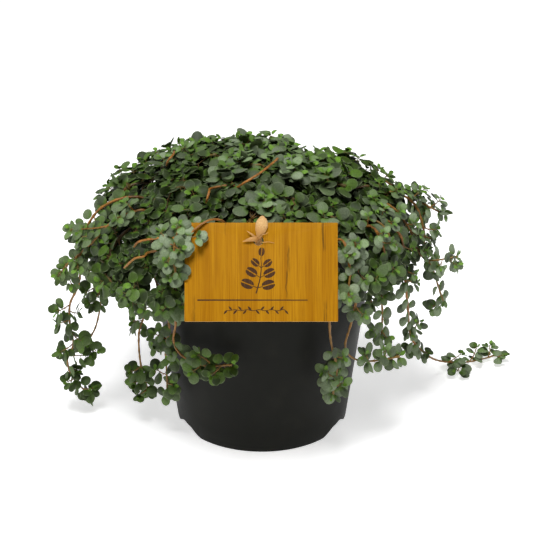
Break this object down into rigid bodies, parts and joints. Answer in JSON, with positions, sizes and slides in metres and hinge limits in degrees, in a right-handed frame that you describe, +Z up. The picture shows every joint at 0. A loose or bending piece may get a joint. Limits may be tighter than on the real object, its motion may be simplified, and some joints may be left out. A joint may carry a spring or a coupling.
{
  "type": "potted pilea plant",
  "caption": "Low house plant with small round leaves that fills and trails over a tapered round pot, with a plain wooden tag hung on a raffia strip.",
  "frame": {"origin": "centre of the pot's flat base, on the surface that the pot stands on", "axes": "+Z up the pot's axis, -Y to the front, where the tag hangs, +X to the viewer's right, along the widest spread of the shoots"},
  "size_m": [0.3037, 0.213, 0.1904],
  "materials": {
    "pot_plastic": "matte near-black moulded plastic",
    "potting_soil": "moist dark potting soil",
    "stained_wood": "thin amber-stained softwood, satin",
    "raffia": "dry flat raffia fibre",
    "foliage": "small glaucous leaves on reddish stems"
  },
  "bodies": {
    "root": {"pot": "pot_plastic", "soil": "potting_soil", "wooden_tag": "stained_wood", "raffia_tie": "raffia", "trailing_shoot_01": "foliage", "trailing_shoot_02": "foliage", "trailing_shoot_03": "foliage", "trailing_shoot_04": "foliage", "trailing_shoot_05": "foliage", "trailing_shoot_06": "foliage", "trailing_shoot_07": "foliage", "trailing_shoot_08": "foliage", "trailing_shoot_09": "foliage", "trailing_shoot_10": "foliage", "trailing_shoot_11": "foliage", "trailing_shoot_12": "foliage", "trailing_shoot_13": "foliage", "trailing_shoot_14": "foliage", "trailing_shoot_15": "foliage", "trailing_shoot_16": "foliage", "trailing_shoot_17": "foliage", "trailing_shoot_18": "foliage", "trailing_shoot_19": "foliage", "trailing_shoot_20": "foliage", "trailing_shoot_21": "foliage", "trailing_shoot_22": "foliage", "trailing_shoot_23": "foliage", "crown_shoot_01": "foliage", "crown_shoot_02": "foliage", "crown_shoot_03": "foliage", "crown_shoot_04": "foliage", "crown_shoot_05": "foliage", "crown_shoot_06": "foliage", "crown_shoot_07": "foliage", "crown_shoot_08": "foliage", "crown_shoot_09": "foliage", "crown_shoot_10": "foliage", "crown_shoot_11": "foliage", "crown_shoot_12": "foliage", "crown_shoot_13": "foliage", "crown_shoot_14": "foliage", "crown_shoot_15": "foliage", "crown_shoot_16": "foliage", "crown_shoot_17": "foliage", "crown_shoot_18": "foliage", "crown_shoot_19": "foliage", "crown_shoot_20": "foliage", "crown_shoot_21": "foliage", "crown_shoot_22": "foliage", "crown_shoot_23": "foliage", "crown_shoot_24": "foliage", "crown_shoot_25": "foliage", "crown_shoot_26": "foliage", "crown_shoot_27": "foliage", "crown_shoot_28": "foliage", "crown_shoot_29": "foliage", "crown_shoot_30": "foliage"}
  },
  "joints": []
}
